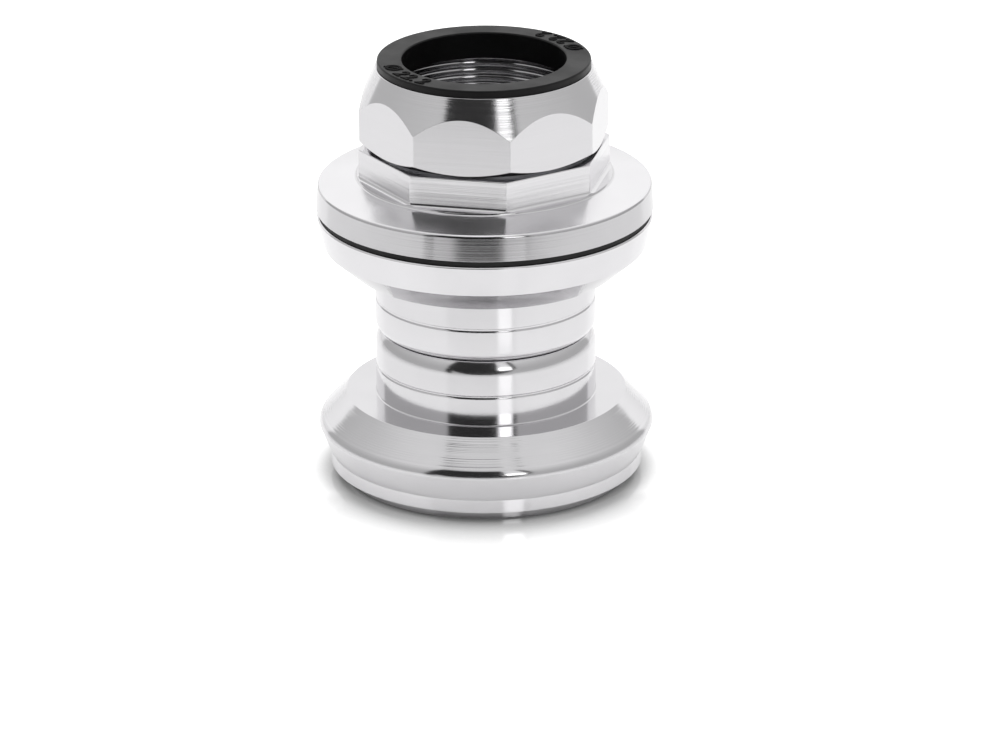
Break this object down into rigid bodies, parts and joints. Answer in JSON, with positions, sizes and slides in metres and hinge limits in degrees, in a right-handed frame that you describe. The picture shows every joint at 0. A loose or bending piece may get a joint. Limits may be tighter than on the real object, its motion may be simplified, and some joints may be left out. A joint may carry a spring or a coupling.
{
  "type": "bicycle headset",
  "caption": "Threaded bicycle headset in polished aluminium: press-fit cups with sealed bearings, a flanged adjusting race, an octagonal locknut and a black stem seal.",
  "frame": {"origin": "centre of the crown race's lower face, where the part stands", "axes": "+Z along the steering axis, up from the crown race to the locknut; -Y is the side that the picture shows"},
  "size_m": [0.046, 0.046, 0.0592],
  "materials": {
    "turned_aluminium": "turned and polished",
    "black_nylon": "moulded, matt",
    "black_rubber": "moulded, matt",
    "washer_steel": "plated, dull",
    "bearing_steel": "ground",
    "ball_steel": "polished",
    "cage_nylon": "moulded, natural"
  },
  "bodies": {
    "cups": {"lower_cup": "turned_aluminium", "upper_cup": "turned_aluminium", "upper_outer_ring": "bearing_steel", "upper_cup_side_shield": "black_rubber", "upper_race_side_shield": "black_rubber", "lower_outer_ring": "bearing_steel", "lower_cup_side_shield": "black_rubber", "lower_race_side_shield": "black_rubber"},
    "top_race": {"adjusting_race": "turned_aluminium", "upper_inner_ring": "bearing_steel", "upper_seal": "black_rubber", "lock_washer": "washer_steel"},
    "upper_ball_set": {"upper_balls": "ball_steel", "upper_ball_cage": "cage_nylon"},
    "crown_race": {"crown_race": "turned_aluminium", "lower_inner_ring": "bearing_steel", "lower_seal": "black_rubber"},
    "lower_ball_set": {"lower_balls": "ball_steel", "lower_ball_cage": "cage_nylon"},
    "stem_seal": {"stem_seal": "black_nylon"},
    "locknut": {"locknut": "turned_aluminium"}
  },
  "joints": [
    {"name": "top_race_turn", "type": "hinge", "parent": "cups", "child": "top_race", "pos_m": [0, 0, 0.03465], "axis": [0, 0, 1], "continuous": true},
    {"name": "upper_ball_turn", "type": "hinge", "parent": "cups", "child": "upper_ball_set", "pos_m": [0, 0, 0.03465], "axis": [0, 0, 1], "continuous": true},
    {"name": "crown_race_turn", "type": "hinge", "parent": "cups", "child": "crown_race", "pos_m": [0, 0, 0.00675], "axis": [0, 0, 1], "continuous": true},
    {"name": "lower_ball_turn", "type": "hinge", "parent": "cups", "child": "lower_ball_set", "pos_m": [0, 0, 0.00675], "axis": [0, 0, 1], "continuous": true},
    {"name": "locknut_rise", "type": "slide", "parent": "top_race", "child": "stem_seal", "axis": [0, 0, 1], "range_m": [0, 0.00635]},
    {"name": "locknut_turn", "type": "hinge", "parent": "stem_seal", "child": "locknut", "pos_m": [0, 0, 0.05295], "axis": [0, 0, 1], "range_deg": [0, 2159]}
  ],
  "couplings": [
    {"joint": "upper_ball_turn", "follows": "top_race_turn", "ratio": 0.4655},
    {"joint": "lower_ball_turn", "follows": "crown_race_turn", "ratio": 0.4655},
    {"joint": "locknut_rise", "follows": "locknut_turn", "m_per_rad": 0.00016844}
  ]
}
